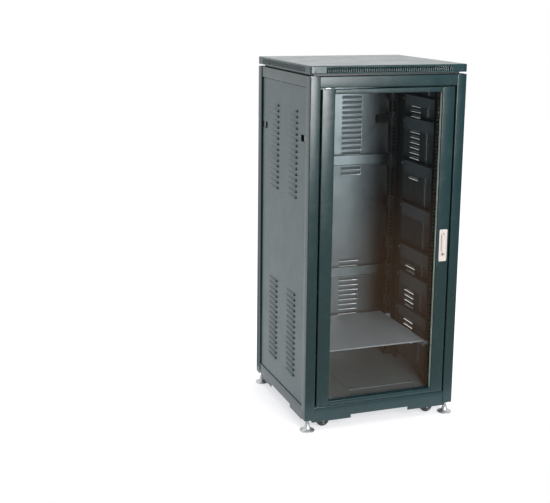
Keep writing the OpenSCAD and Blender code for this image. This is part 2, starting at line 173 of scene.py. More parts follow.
class NT:
    def __init__(s, name):
        s.m = bpy.data.materials.new(name)
        s.m.use_nodes = True
        s.t = s.m.node_tree
        s.b = s.t.nodes["Principled BSDF"]
        s.tc = s.t.nodes.new("ShaderNodeTexCoord")

    def noise(s, scale, detail=2.0, rough=0.5, stretch=None):
        n = s.t.nodes.new("ShaderNodeTexNoise")
        n.inputs["Scale"].default_value = scale
        n.inputs["Detail"].default_value = detail
        n.inputs["Roughness"].default_value = rough
        src = s.tc.outputs["Object"]
        if stretch:
            mp = s.t.nodes.new("ShaderNodeMapping")
            mp.inputs["Scale"].default_value = stretch
            s.t.links.new(src, mp.inputs["Vector"])
            src = mp.outputs[0]
        s.t.links.new(src, n.inputs["Vector"])
        return n.outputs["Fac"]

    def rng(s, sock, a, b, lo, hi):
        n = s.t.nodes.new("ShaderNodeMapRange")
        n.inputs["From Min"].default_value = a
        n.inputs["From Max"].default_value = b
        n.inputs["To Min"].default_value = lo
        n.inputs["To Max"].default_value = hi
        s.t.links.new(sock, n.inputs["Value"])
        return n.outputs["Result"]

    def mixc(s, fac, a, b):
        n = s.t.nodes.new("ShaderNodeMix")
        n.data_type = "RGBA"
        for k, v in (("A", a), ("B", b)):
            if isinstance(v, tuple):
                n.inputs[k].default_value = (*v, 1)
            else:
                s.t.links.new(v, n.inputs[k])
        s.t.links.new(fac, n.inputs["Factor"])
        return n.outputs["Result"]

    def math(s, op, a, b):
        n = s.t.nodes.new("ShaderNodeMath")
        n.operation = op
        for i, v in enumerate((a, b)):
            if isinstance(v, (int, float)):
                n.inputs[i].default_value = v
            else:
                s.t.links.new(v, n.inputs[i])
        return n.outputs[0]

    def link(s, sock, name):
        s.t.links.new(sock, s.b.inputs[name])

    def bump(s, height, strength, dist):
        n = s.t.nodes.new("ShaderNodeBump")
        n.inputs["Strength"].default_value = strength
        n.inputs["Distance"].default_value = dist
        s.t.links.new(height, n.inputs["Height"])
        s.t.links.new(n.outputs[0], s.b.inputs["Normal"])

    def edge(s, lo=0.52, hi=0.60):
        g = s.t.nodes.new("ShaderNodeNewGeometry")
        return s.rng(g.outputs["Pointiness"], lo, hi, 0.0, 1.0)


def shade(c, k):
    return tuple(min(1.0, v * k) for v in c)


def powder(name, col, rough=0.34, vary=0.10, bump=0.22, spec=0.5):
    """Powder coat: orange-peel bump about a millimetre across, fine fleck, slow cloudiness, paler rubbed edges."""
    n = NT(name)
    cloud = n.noise(3.2, 3.0)
    fleck = n.noise(2600, 1.0)
    c1 = n.mixc(n.rng(cloud, 0.35, 0.65, 0.0, 1.0), shade(col, 1 - vary), shade(col, 1 + vary))
    c2 = n.mixc(n.rng(fleck, 0.62, 0.78, 0.0, 0.35), c1, shade(col, 1.6))
    worn = n.math("MULTIPLY", n.edge(0.54, 0.64), n.rng(n.noise(60, 3.0), 0.42, 0.70, 0.0, 0.45))
    c3 = n.mixc(worn, c2, tuple(0.7 * v + 0.05 for v in col))
    n.link(c3, "Base Color")
    r = n.math("ADD", n.rng(n.noise(14, 3.0), 0.3, 0.7, rough - 0.03, rough + 0.04), n.rng(fleck, 0.3, 0.7, -0.02, 0.02))
    n.link(r, "Roughness")
    n.b.inputs["Specular IOR Level"].default_value = spec
    peel = n.math("ADD", n.noise(850, 2.0), n.math("MULTIPLY", n.noise(2600, 1.0), 0.35))
    n.bump(peel, bump, 0.0001)
    MATS[name] = n.m
    return n.m


def metal(name, col, rough=0.25, brushed=None, bump=0.1):
    n = NT(name)
    haze = n.noise(90, 3.0)
    c = n.mixc(n.rng(haze, 0.3, 0.7, 0.0, 1.0), shade(col, 0.90), shade(col, 1.06))
    n.link(c, "Base Color")
    n.b.inputs["Metallic"].default_value = 1.0
    g = n.noise(700, 2.0, stretch=brushed) if brushed else n.noise(500, 2.0)
    n.link(n.rng(g, 0.3, 0.7, rough - 0.06, rough + 0.08), "Roughness")
    n.bump(g, bump, 0.00006)
    MATS[name] = n.m
    return n.m


def plastic(name, col, rough=0.5, bump=0.25, scale=1500, spec=0.5):
    n = NT(name)
    a = n.noise(40, 3.0)
    n.link(n.mixc(n.rng(a, 0.3, 0.7, 0, 1), shade(col, 0.88), shade(col, 1.12)), "Base Color")
    g = n.noise(scale, 2.0)
    n.link(n.rng(g, 0.3, 0.7, rough - 0.06, rough + 0.06), "Roughness")
    n.b.inputs["Specular IOR Level"].default_value = spec
    n.bump(g, bump, 0.0001)
    MATS[name] = n.m
    return n.m


TEAL = (0.0078, 0.0320, 0.0375)
m_frame = powder("paint_frame", TEAL, 0.245, 0.05)
m_cover = powder("paint_cover", (0.0095, 0.037, 0.044), 0.24, 0.05, spec=0.38)
m_panel = powder("paint_panel", (0.0115, 0.045, 0.051), 0.29, 0.04)
m_panel_in = powder("paint_panel_inside", (0.033, 0.037, 0.039), 0.30, 0.05)
m_door = powder("paint_door", (0.0078, 0.032, 0.0375), 0.245, 0.05)
m_in = powder("paint_inside", (0.028, 0.034, 0.035), 0.36)
m_rail = powder("paint_rail", (0.036, 0.044, 0.046), 0.34)
m_shelf = powder("paint_shelf", (0.25, 0.27, 0.29), 0.36, 0.04)
m_zinc = metal("zinc_plate", (0.80, 0.80, 0.77), 0.24)
m_foot = metal("foot_plate", (0.57, 0.60, 0.60), 0.50)
# painted shade: a near-black colour put in the screw cross recesses and the key slot, where there is only shade
m_painted_recess_shade = plastic("painted_recess_shade", (0.012, 0.013, 0.013), 0.6)
m_guide = plastic("latch_black", (0.018, 0.020, 0.020), 0.45)
m_slider = plastic("latch_grey", (0.13, 0.145, 0.15), 0.42)
m_nylon = plastic("nylon", (0.70, 0.70, 0.66), 0.45)
m_rubber = plastic("gasket", (0.012, 0.012, 0.012), 0.62)
# painted highlight: a pale green colour for the strips beside the glass, standing in for light on the door's return
# flange
m_painted_glint_strip = plastic("painted_glint_strip", (0.40, 0.48, 0.41), 0.40, 0.12)
m_tyre = plastic("tyre_black", (0.014, 0.016, 0.018), 0.38, 0.15)
m_hub = plastic("hub_dark", (0.030, 0.034, 0.036), 0.40, 0.12)
m_fork = metal("fork_black_zinc", (0.10, 0.11, 0.115), 0.34)


def lock_paint():
    """Silver lacquer on a die casting: metal flake in a clear coat."""
    n = NT("lock_silver")
    fl = n.noise(2400, 1.0)
    cl = n.noise(30, 3.0)
    c = n.mixc(n.rng(cl, 0.3, 0.7, 0, 1), (0.60, 0.575, 0.575), (0.68, 0.655, 0.655))
    c = n.mixc(n.rng(fl, 0.60, 0.75, 0, 0.6), c, (0.85, 0.83, 0.83))
    n.link(c, "Base Color")
    n.b.inputs["Metallic"].default_value = 0.25
    n.link(n.rng(fl, 0.3, 0.7, 0.30, 0.42), "Roughness")
    n.b.inputs["Coat Weight"].default_value = 0.4
    n.b.inputs["Coat Roughness"].default_value = 0.15
    n.bump(n.noise(900, 2.0), 0.12, 0.00008)
    return n.m


m_lock = lock_paint()


def glass_mat(name, tint):
    """Tinted safety glass: see-through sheet, mirror by Fresnel, faint wiping marks in the gloss."""
    n = NT(name)
    t = n.t
    t.nodes.remove(n.b)
    out = t.nodes["Material Output"]
    tr = t.nodes.new("ShaderNodeBsdfTransparent")
    c = n.mixc(n.rng(n.noise(3.0, 2.0), 0.3, 0.7, 0, 1), shade(tint, 0.985), shade(tint, 1.01))
    t.links.new(c, tr.inputs["Color"])
    gl = t.nodes.new("ShaderNodeBsdfGlossy")
    gl.inputs["Color"].default_value = (1, 1, 1, 1)
    t.links.new(n.rng(n.noise(9, 4.0), 0.45, 0.75, 0.0, 0.05), gl.inputs["Roughness"])
    lw = t.nodes.new("ShaderNodeLayerWeight")
    lw.inputs["Blend"].default_value = 0.5
    f = n.math("ADD", n.math("MULTIPLY", n.math("POWER", lw.outputs["Facing"], 5.0), 0.96), 0.035)
    mx = t.nodes.new("ShaderNodeMixShader")
    t.links.new(f, mx.inputs["Fac"])
    t.links.new(tr.outputs[0], mx.inputs[1])
    t.links.new(gl.outputs[0], mx.inputs[2])
    t.links.new(mx.outputs[0], out.inputs["Surface"])
    return n.m


m_glass = glass_mat("glass_smoke", (0.805, 0.808, 0.80))

# ----------------------------------------------------------------------------
# mesh building, in millimetres
# ----------------------------------------------------------------------------


class Mesh:
    def __init__(s):
        s.v, s.f, s.m = [], [], []

    def add(s, verts, faces, mi=0):
        k = len(s.v)
        s.v += [tuple(v) for v in verts]
        s.f += [tuple(i + k for i in f) for f in faces]
        s.m += [mi] * len(faces)

    def box(s, x0, x1, y0, y1, z0, z1, mi=0):
        v = [(x, y, z) for x in (x0, x1) for y in (y0, y1) for z in (z0, z1)]
        s.add(v, [(0, 1, 3, 2), (4, 6, 7, 5), (0, 4, 5, 1), (2, 3, 7, 6), (0, 2, 6, 4), (1, 5, 7, 3)], mi)

    def sweep(s, pairs, a, b, fn, mi=0):
        """Sheet section (list of (outer, inner) 2-D points) drawn out from a to b; fn(u, v, w) gives x, y, z."""
        n = len(pairs)
        v = []
        for w in (a, b):
            for p, q in pairs:
                v.append(fn(p[0], p[1], w))
                v.append(fn(q[0], q[1], w))
        f = []
        o = 2 * n
        for i in range(n - 1):
            p0, q0, p1, q1 = 2 * i, 2 * i + 1, 2 * i + 2, 2 * i + 3
            f += [(p0, p1, o + p1, o + p0), (q1, q0, o + q0, o + q1), (p1, p0, q0, q1), (o + p0, o + p1, o + q1, o + q0)]
        e = 2 * n - 2
        f += [(1, 0, o, o + 1), (e, e + 1, o + e + 1, o + e)]
        s.add(v, f, mi)

    def lathe(s, prof, n=48, fn=lambda x, y, z: (x, y, z), mi=0, cap=True):
        """Profile of (radius, height) turned about the local Z axis."""
        v, f = [], []
        rows = []
        for r, z in prof:
            if r < 1e-6:
                rows.append([len(v)])
                v.append(fn(0, 0, z))
            else:
                rows.append(list(range(len(v), len(v) + n)))
                v += [fn(r * math.cos(2 * PI * k / n), r * math.sin(2 * PI * k / n), z) for k in range(n)]
        for a, b in zip(rows, rows[1:]):
            if len(a) == 1 and len(b) == 1:
                continue
            for k in range(n):
                j = (k + 1) % n
                if len(a) == 1:
                    f.append((a[0], b[k], b[j]))
                elif len(b) == 1:
                    f.append((a[k], b[0], a[j]))
                else:
                    f.append((a[k], b[k], b[j], a[j]))
        s.add(v, f, mi)

    def loops(s, loops, mi=0, cap0=True, cap1=True):
        n = len(loops[0])
        v = [p for l in loops for p in l]
        f = []
        for k in range(len(loops) - 1):
            for i in range(n):
                j = (i + 1) % n
                f.append((k * n + i, k * n + j, (k + 1) * n + j, (k + 1) * n + i))
        if cap0:
            f.append(tuple(range(n))[::-1])
        if cap1:
            f.append(tuple(range((len(loops) - 1) * n, len(loops) * n)))
        s.add(v, f, mi)


def fillet(path, r, n=5):
    """Polyline with its inner corners rounded; returns points."""
    out = [path[0]]
    for a, b, c in zip(path, path[1:], path[2:]):
        va = Vector((a[0] - b[0], a[1] - b[1])).normalized()
        vc = Vector((c[0] - b[0], c[1] - b[1])).normalized()
        ang = va.angle(vc)
        t = r / math.tan(ang / 2)
        p0, p1 = Vector(b) + va * t, Vector(b) + vc * t
        cen = Vector(b) + (va + vc).normalized() * (r / math.sin(ang / 2))
        d0, d1 = p0 - cen, p1 - cen
        a0 = math.atan2(d0.y, d0.x)
        da = (math.atan2(d1.y, d1.x) - a0 + PI) % (2 * PI) - PI
        for k in range(n + 1):
            th = a0 + da * k / n
            out.append((cen.x + r * math.cos(th), cen.y + r * math.sin(th)))
    out.append(path[-1])
    return out


def bent(path, t, rin, n=5):
    """Pairs of points either side of a centre line, a sheet of thickness t bent with inner radius rin."""
    pts = fillet(path, rin + t / 2, n)
    pr = []
    for i, p in enumerate(pts):
        a = pts[max(0, i - 1)]
        b = pts[min(len(pts) - 1, i + 1)]
        d = Vector((b[0] - a[0], b[1] - a[1])).normalized()
        nrm = Vector((-d.y, d.x)) * (t / 2)
        pr.append(((p[0] + nrm.x, p[1] + nrm.y), (p[0] - nrm.x, p[1] - nrm.y)))
    return pr


def rrect(w, h, r, n=5, cx=0.0, cz=0.0):
    pts = []
    for k, (sx, sz) in enumerate(((1, -1), (1, 1), (-1, 1), (-1, -1))):
        for i in range(n + 1):
            th = -PI / 2 + k * PI / 2 + PI / 2 * i / n
            pts.append((cx + sx * (w / 2 - r) + r * math.cos(th), cz + sz * (h / 2 - r) + r * math.sin(th)))
    return pts


def make(name, mesh, mats, nodes, body=None, bevel=0.0, seg=2, angle=35, solid=0.0, recalc=True, weld=0.002, tf=None, flat=False):
    me = bpy.data.meshes.new(name)
    vs = mesh.v if tf is None else [tf(*p) for p in mesh.v]
    me.from_pydata([(x * 0.001, y * 0.001, z * 0.001) for x, y, z in vs], [], mesh.f)
    mats = mats if isinstance(mats, (list, tuple)) else [mats]
    for m in mats:
        me.materials.append(m)
    me.polygons.foreach_set("material_index", mesh.m)
    bm = bmesh.new()
    bm.from_mesh(me)
    if weld:
        bmesh.ops.remove_doubles(bm, verts=bm.verts, dist=weld * 0.001)
    if recalc:
        bmesh.ops.recalc_face_normals(bm, faces=bm.faces)
    bm.to_mesh(me)
    bm.free()
    me.shade_smooth()
    if flat:
        for f in me.polygons:
            if max(abs(c) for c in f.normal) > 0.99995:
                f.use_smooth = False
    o = bpy.data.objects.new(name, me)
    scene.collection.objects.link(o)
    if solid:
        md = o.modifiers.new("sheet", "SOLIDIFY")
        md.thickness = solid * 0.001
        md.offset = -1
        md.use_even_offset = True
        md.use_quality_normals = True
    if bevel:
        md = o.modifiers.new("edge", "BEVEL")
        md.width = bevel * 0.001
        md.segments = seg
        md.limit_method = "ANGLE"
        md.angle_limit = math.radians(angle)
        md.harden_normals = True
    else:
        me.set_sharp_from_angle(angle=math.radians(angle))
    nodes = [nodes] if isinstance(nodes, str) else nodes
    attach(o, body or BODY[nodes[0]])
    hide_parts(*nodes)
    return o


def dress(node, mat, bevel=0.35, seg=2):
    """A CAD node keeps its shape; it gets a finish and slightly broken edges."""
    o = frame["nodes"][node]
    if not o.material_slots:
        o.data.materials.append(mat)
    for s in o.material_slots:
        s.material = mat
    if bevel:
        w = o.modifiers.new("weld", "WELD")
        w.merge_threshold = 0.00001
        md = o.modifiers.new("edge", "BEVEL")
        md.width = bevel * 0.001
        md.segments = seg
        md.limit_method = "ANGLE"
        md.angle_limit = math.radians(40)
        md.harden_normals = True
    return o


def ride_only(name, mesh, mat, node):
    me = bpy.data.meshes.new(name)
    me.from_pydata([(x * 0.001, y * 0.001, z * 0.001) for x, y, z in mesh.v], [], mesh.f)
    me.materials.append(mat)
    bm = bmesh.new()
    bm.from_mesh(me)
    bmesh.ops.recalc_face_normals(bm, faces=bm.faces)
    bm.to_mesh(me)
    bm.free()
    me.shade_smooth()
    me.set_sharp_from_angle(angle=math.radians(35))
    o = bpy.data.objects.new(name, me)
    scene.collection.objects.link(o)
    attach(o, BODY[node])
    return o



# ---- corner columns -------------------------------------------------------
full = bent([(38 - 11.5, 19), (37, 19), (37, 1), (1, 1), (1, 37), (14, 37)], 2.0, 1.2, 5)
part = bent([(38, 1), (1, 1), (1, 38)], 2.0, 1.2, 5)
for node, sy in (("front_columns", -1), ("rear_columns", 1)):
    m = Mesh()
    for sx in (-1, 1):
        fn = lambda u, v, w, sx=sx, sy=sy: (sx * (HW - u), sy * (HD - v), w)
        m.sweep(full, BB + 30, BT, fn)
        m.sweep(part, BB, BB + 30, fn)
    make(node + "_v", m, m_frame, node, bevel=0.35)

# ---- beams ----------------------------------------------------------------
m = Mesh()
for s in (-1, 1):
    m.sweep(bent([(-258, BT - 39), (-271.5, BT - 39), (-271.5, BT - 1), (-241, BT - 1)], 2.0, 1.0), -262, 262, lambda u, v, w, s=s: (w, -s * u, v))
make("top_cross_beams_v", m, m_frame, "top_cross_beams", bevel=0.3)
m = Mesh()
for s in (-1, 1):
    m.sweep(bent([(-262, BB + 3), (-271.5, BB + 3), (-271.5, BB + 46), (-241, BB + 46)], 2.0, 1.0), -262, 262, lambda u, v, w, s=s: (w, -s * u, v))
make("bottom_cross_beams_v", m, m_frame, "bottom_cross_beams", bevel=0.3)
m = Mesh()
for s in (-1, 1):
    m.sweep(bent([(-283, BT - 39), (-296.5, BT - 39), (-296.5, BT - 1), (-266, BT - 1)], 2.0, 1.0), -237, 237, lambda u, v, w, s=s: (-s * u, w, v))
make("side_top_beams_v", m, m_frame, "side_top_beams", bevel=0.3)
m = Mesh()
for s in (-1, 1):
    m.sweep(bent([(-286, BB + 3), (-296.5, BB + 3), (-296.5, BB + 43), (-271, BB + 43)], 2.0, 1.0), -237, 237, lambda u, v, w, s=s: (-s * u, w, v))
make("side_bottom_beams_v", m, m_frame, "side_bottom_beams", bevel=0.3)

# ---- corner base plates ---------------------------------------------------
m = Mesh()
for sx in (-1, 1):
    for sy in (-1, 1):
        g = lambda u, v, w, sx=sx, sy=sy: (sx * u, sy * v, w)
        m.add([g(x, y, z) for x, y, z in (
            (116, 268.5, 35.3), (270, 268.5, 35.3), (280, 268.5, 55), (280, 268.5, 72.5), (116, 268.5, 72.5),
            (116, 270.4, 35.3), (270, 270.4, 35.3), (280, 270.4, 55), (280, 270.4, 72.5), (116, 270.4, 72.5))],
            [(0, 1, 2, 3, 4), (9, 8, 7, 6, 5), (0, 5, 6, 1), (1, 6, 7, 2), (2, 7, 8, 3), (3, 8, 9, 4), (4, 9, 5, 0)])
        m.add([g(x, y, z) for x, y, z in (
            (293.6, 105, 35.3), (293.6, 226, 35.3), (293.6, 229, 48), (293.6, 229, 72.5), (293.6, 105, 72.5),
            (295.5, 105, 35.3), (295.5, 226, 35.3), (295.5, 229, 48), (295.5, 229, 72.5), (295.5, 105, 72.5))],
            [(0, 1, 2, 3, 4), (9, 8, 7, 6, 5), (0, 5, 6, 1), (1, 6, 7, 2), (2, 7, 8, 3), (3, 8, 9, 4), (4, 9, 5, 0)])
        bx = [g(x, y, z) for x in (116, 295.4) for y in (105, 270.3) for z in (72, 74)]
        m.add(bx, [(0, 1, 3, 2), (4, 6, 7, 5), (0, 4, 5, 1), (2, 3, 7, 6), (0, 2, 6, 4), (1, 5, 7, 3)])
make("corner_base_plates_v", m, m_frame, "corner_base_plates", bevel=0.4)

# ---- top cover ------------------------------------------------------------
def cover():
    rc, rf = 5.0, 3.5
    z0, z1 = BT + 8, BT + 36
    per = []          # (base x, base y, normal x, normal y, radius left, is the next stretch a slot)

    def side(half, count, place):
        pts = []
        for i in range(-count, count + 1):
            pts.append((i * 8.5 - 2.1, True))
            pts.append((i * 8.5 + 2.1, False))
        pts = [(-half + rc, False), (-half + 16, False), (-count * 8.5 - 4.1, False)] + pts + [(count * 8.5 + 4.1, False), (half - 16, False)]
        for u, isslot in pts:
            per.append((*place(u), isslot))

    n1, n2 = int(476 / 8.5 / 2), int(452 / 8.5 / 2)
    corner = lambda cx, cy, a0: [per.append((cx, cy, math.cos(a0 + PI / 2 * k / 5), math.sin(a0 + PI / 2 * k / 5), False)) for k in range(6)]
    side(HW, n1, lambda u: (u, -HD + rc, 0, -1))
    corner(HW - rc, -HD + rc, -PI / 2)
    side(HD, n2, lambda u: (HW - rc, u, 1, 0))
    corner(HW - rc, HD - rc, 0)
    side(HW, n1, lambda u: (-u, HD - rc, 0, 1))
    corner(-HW + rc, HD - rc, PI / 2)
    side(HD, n2, lambda u: (-HW + rc, -u, -1, 0))
    corner(-HW + rc, -HD + rc, PI)
    lv = [(rc - 0.0, z0), (rc, z0 + 3.6), (rc, z0 + 21.9), (rc, z1 - rf)]
    lv += [(rc - rf * (1 - math.cos(PI / 2 * k / 5)), z1 - rf + rf * math.sin(PI / 2 * k / 5)) for k in range(1, 6)]
    lv += [(0.2, z1)]
    n = len(per)
    m = Mesh()
    v = [(x + nx * r, y + ny * r, z) for r, z in lv for x, y, nx, ny, sl in per]
    f = []
    for l in range(len(lv) - 1):
        for i in range(n):
            if l == 1 and per[i][4]:
                continue
            j = (i + 1) % n
            f.append((l * n + i, l * n + j, (l + 1) * n + j, (l + 1) * n + i))
    f.append(tuple((len(lv) - 1) * n + i for i in range(n)))
    m.add(v, f)
    o = make("top_cover_v", m, m_cover, "top_cover", solid=1.5, recalc=False, angle=40, flat=True)
    # the folded-in lower edge that rests on the neck
    m = Mesh()
    zz = z0
    m.box(-HW + 1.6, HW - 1.6, -HD + 1.6, -HD + 36, zz, zz + 1.5)
    m.box(-HW + 1.6, HW - 1.6, HD - 36, HD - 1.6, zz, zz + 1.5)
    m.box(-HW + 1.6, -HW + 36, -HD + 36, HD - 36, zz, zz + 1.5)
    m.box(HW - 36, HW - 1.6, -HD + 36, HD - 36, zz, zz + 1.5)
    make("top_cover_lip_v", m, m_cover, "top_cover", bevel=0.3)


cover()

# ---- louvred panels -------------------------------------------------------
def panel(name, half, cx, z0, z1, tf, body, node):
    rb = 1.0
    w2 = 43.0
    p = 5.5
    rows = [g + i * 20.7 for g in (174, 848) for i in range(16)]
    xs = sorted({-half + rb, half - rb, -half + 3, half - 3, -cx - w2, -cx + w2, cx - w2, cx + w2, -half + 4, -half + 56, half - 4, half - 56}
                | {a * (cx + b) for a in (-1, 1) for b in (-w2 - 2, w2 + 2)} | {-half + 58, half - 58})
    zs = sorted({z0 + rb, z1 - rb, z0 + 3, z1 - 3, 1058.0, 1082.0, 1056.3, 1083.7} | {z - 5 for z in rows} | {z + 6.5 for z in rows} | {z - 7 for z in rows} | {z + 8.5 for z in rows})
    m = Mesh()
    idx = {}
    for j, z in enumerate(zs):
        for i, x in enumerate(xs):
            idx[i, j] = len(m.v)
            m.v.append((x, 0.0, z))
    hole = {}
    for z in rows:
        for c in (-cx, cx):
            hole[xs.index(c - w2)] = True
    col = [i for i, x in enumerate(xs[:-1]) if any(abs(x - (c - w2)) < 1e-6 for c in (-cx, cx))]
    above = {}
    cuts = set()
    offs = [0, 0.5, 1.5, 3.2, 5.6, 8.5]
    for z in rows:
        lo, hi = zs.index(z - 5), zs.index(z + 6.5)
        for i in col:
            i1 = i
            while xs[i1] < xs[i] + 2 * w2 - 1e-6:
                for j in range(lo, hi):
                    cuts.add((i1, j))
                i1 += 1
            c = xs[i] + w2
            sx = [c - w2 + a for a in offs] + [c + w2 - a for a in offs[::-1]]
            row = [idx[i, hi]]
            for x in sx[1:-1]:
                row.append(len(m.v))
                m.v.append((x, 0.0, z + 6.5))
            row.append(idx[i1, hi])
            above[i, hi] = row[1:-1]
            nq = 6
            for q in range(1, nq + 1):
                new = []
                for x in sx:
                    a = max(0.0, abs(x - c) - (w2 - 8.5)) / 8.5
                    e = math.sqrt(max(0.0, 1 - a * a))
                    new.append(len(m.v))
                    m.v.append((x, -p * e * math.sin(PI / 2 * q / nq) ** 0.85, z + 6.5 - 11.4 * q / nq))
                for k in range(len(sx) - 1):
                    m.f.append((new[k], new[k + 1], row[k + 1], row[k]))
                    m.m.append(0)
                row = new
    # latch windows
    la, lb = zs.index(1058.0), zs.index(1082.0)
    for a, b in ((-half + 4, -half + 56), (half - 56, half - 4)):
        for i in range(xs.index(a), xs.index(b)):
            for j in range(la, lb):
                cuts.add((i, j))
    for i in range(len(xs) - 1):
        for j in range(len(zs) - 1):
            if (i, j) in cuts:
                continue
            bot = [idx[i, j]] + above.get((i, j), []) + [idx[i + 1, j]]
            m.f.append(tuple(bot + [idx[i + 1, j + 1], idx[i, j + 1]]))
            m.m.append(0)
    nx, nz = len(xs), len(zs)
    loop = [idx[i, 0] for i in range(nx)] + [idx[nx - 1, j] for j in range(1, nz)] + [idx[i, nz - 1] for i in range(nx - 2, -1, -1)] + [idx[0, j] for j in range(nz - 2, 0, -1)]
    base = [m.v[k] for k in loop]
    prev = loop
    steps = [(rb * math.sin(PI / 2 * k / 4), rb * (1 - math.cos(PI / 2 * k / 4))) for k in range(1, 5)] + [(rb, 8.0)]
    for d, dep in steps:
        new = []
        for x, y, z in base:
            ox = d if abs(x - xs[-1]) < 1e-6 else (-d if abs(x - xs[0]) < 1e-6 else 0)
            oz = d if abs(z - zs[-1]) < 1e-6 else (-d if abs(z - zs[0]) < 1e-6 else 0)
            new.append(len(m.v))
            m.v.append((x + ox, dep, z + oz))
        L = len(new)
        for k in range(L):
            j = (k + 1) % L
            m.f.append((new[k], new[j], prev[j], prev[k]))
            m.m.append(0)
        prev = new
    o = make(name, m, [m_panel, m_panel_in], node, body=body, solid=1.2, recalc=False, angle=40, tf=tf, flat=True)
    o.modifiers["sheet"].material_offset = 1
    m = Mesh()
    m.sweep(bent([(-21, 2.0), (-12, 2.0), (-12, 5.5), (12, 5.5), (12, 2.0), (21, 2.0)], 1.0, 0.8, 3), z0 + 30, z1 - 30, lambda u, v, w: (u, v, w))
    make(name + "_stiffener", m, m_panel_in, node, body=body, bevel=0.2, tf=tf)


panel("side_panel_left_v", 235.5, 97, 91, 1249, lambda x, y, z: (-294 + y, -x, z), "panel_left", "side_panel_left")
panel("side_panel_right_v", 235.5, 97, 91, 1249, lambda x, y, z: (294 - y, x, z), "panel_right", "side_panel_right")
panel("rear_panel_v", 260.5, 97, 94, 1249, lambda x, y, z: (-x, 269 - y, z), "panel_rear", "rear_panel")

# ---- door -----------------------------------------------------------------
DZ0, DZ1 = 95.0, 1246.0
OZ0, OZ1 = DZ0 + 17, DZ1 - 17
m = Mesh()
stile = bent([(-254.75, -252), (-254.75, -274.25), (-207.75, -274.25), (-207.75, -260)], 1.5, 1.3, 5)
for s in (-1, 1):
    m.sweep(stile, DZ0 + 0.75, DZ1 - 0.75, lambda u, v, w, s=s: (-s * u, v, w))
    m.box(*sorted((s * 209.5, s * 254)), -273.9, -252, DZ1 - 1.5, DZ1)
    m.box(*sorted((s * 209.5, s * 254)), -273.9, -252, DZ0, DZ0 + 1.5)
rail = [(-252, DZ1 - 0.75), (-274.25, DZ1 - 0.75), (-274.25, OZ1 + 0.75), (-260, OZ1 + 0.75)]
m.sweep(bent(rail, 1.5, 1.3, 5), -207.2, 207.2, lambda u, v, w: (w, u, v))
rail = [(-252, DZ0 + 0.75), (-274.25, DZ0 + 0.75), (-274.25, OZ0 - 0.75), (-260, OZ0 - 0.75)]
m.sweep(bent(rail, 1.5, 1.3, 5), -207.2, 207.2, lambda u, v, w: (w, u, v))
make("door_frame_v", m, m_door, "door_frame", bevel=0.25)

m = Mesh()
m.box(-217, 217, -258.5, -254.5, OZ0 - 9, OZ1 + 9)
make("door_glass_v", m, m_glass, "door_glass", bevel=0.8, seg=2)

# pale green strips down both upright edges of the glazed opening: a painted highlight standing in for the lit return
# flange beside the glass
m = Mesh()
for s in (-1, 1):
    m.box(*sorted((s * 205.9, s * 206.9)), -267.5, -258.8, OZ0 + 1, OZ1 - 1)
ride_only("painted_glint_strip_v", m, m_painted_glint_strip, "door_frame")


# ---- swing-handle lock ----------------------------------------------------
LX, LZ, PZ, LY = 233.0, 705.0, 632.0, -279.0


def plate_loops(w, h, r, steps, cx, cz):
    out = []
    for ins, y in steps:
        rr = max(0.6, r - ins)
        out.append([(x, y, z) for x, z in rrect(w - 2 * ins, h - 2 * ins, rr, 6, cx, cz)])
    return out


m = Mesh()
m.loops(plate_loops(32, 120, 4.5, [(0.3, -275), (0, -275.2), (0, -275.9), (0.3, -276.3), (0.9, -276.5), (4.4, -276.5), (4.9, -276.3), (5.2, -275.9), (5.4, -275.5), (6.0, -275.4)], LX, 665))
m.loops(plate_loops(22, 106, 3, [(0, -256), (0, -275.2)], LX, 665))
toY = lambda cx, cz, y0: (lambda x, y, z: (cx + x, y0 - z, cz + y))
m.lathe([(9.0, 0), (9.0, 0.7), (8.6, 1.0), (6.6, 1.0), (6.2, 0.7), (6.2, 0)], 40, toY(LX, PZ, -275.4))
m.lathe([(9.4, 0), (9.4, 0.7), (9.0, 1.0), (6.6, 1.0), (6.2, 0.7), (6.2, 0)], 40, toY(LX, LZ, -275.4))
make("lock_housing_v", m, m_lock, "lock_housing", angle=32)

m = Mesh()
# lever: crowned bar with a thumb hollow near its lower end
lv = []
for ins, y in [(0.5, -276.9), (0.1, -277.2), (0, -277.7), (0, -279.9), (0.35, -280.6), (1.1, -281.05), (2.2, -281.2)]:
    lv.append([(x, y, z) for x, z in rrect(15 - 2 * ins, 56.5 - 2 * ins, 5.5 - ins * 0.8, 7, LX, 645 + 28.25)])
m.loops(lv, cap1=False)
rim = lv[-1]
inner = [[(LX + (x - LX) * k, y + d, 673.25 + (z - 673.25) * k2) for x, y, z in rim] for k, k2, d in ((0.80, 0.93, 0.3), (0.6, 0.88, 0.8), (0.3, 0.84, 1.0))]
m.loops([rim] + inner, cap0=False)
for x0 in (LX - 7.5, LX + 2.8):
    prof = [(-2.15, -6)] + [(-2.2 * math.sin(PI / 2 - PI * k / 12), 2.2 * math.cos(PI / 2 - PI * k / 12)) for k in range(13)] + [(2.15, -6)]
    m.loops([[(x0, LY + u, LZ + v) for u, v in prof], [(x0 + 4.7, LY + u, LZ + v) for u, v in prof]])
make("lock_lever_v", m, m_lock, "lock_lever", bevel=0.35, angle=45)

m = Mesh()
m.lathe([(0.0, -17.8), (6.0, -17.8), (6.0, 1.6), (5.6, 2.0), (4.2, 2.2), (3.9, 1.7), (0.0, 1.6)], 40, toY(LX, PZ, -275.4))
# painted shade: a near-black box on the plug face stands for the shaded key slot
m.box(LX - 0.7, LX + 0.7, -277.3, -276.6, PZ - 3.2, PZ + 3.2, 1)
make("lock_plug_v", m, [m_zinc, m_painted_recess_shade], "lock_plug", angle=35)

# ---- levelling feet -------------------------------------------------------
def hexa(af, z0, z1, ch, rot=0.0):
    r = af / math.sqrt(3)
    L = []
    for k, z in ((0.90, z0), (1.0, z0 + ch), (1.0, z1 - ch), (0.90, z1)):
        L.append([(r * k * math.cos(PI / 3 * i + rot), r * k * math.sin(PI / 3 * i + rot), z) for i in range(6)])
    return L


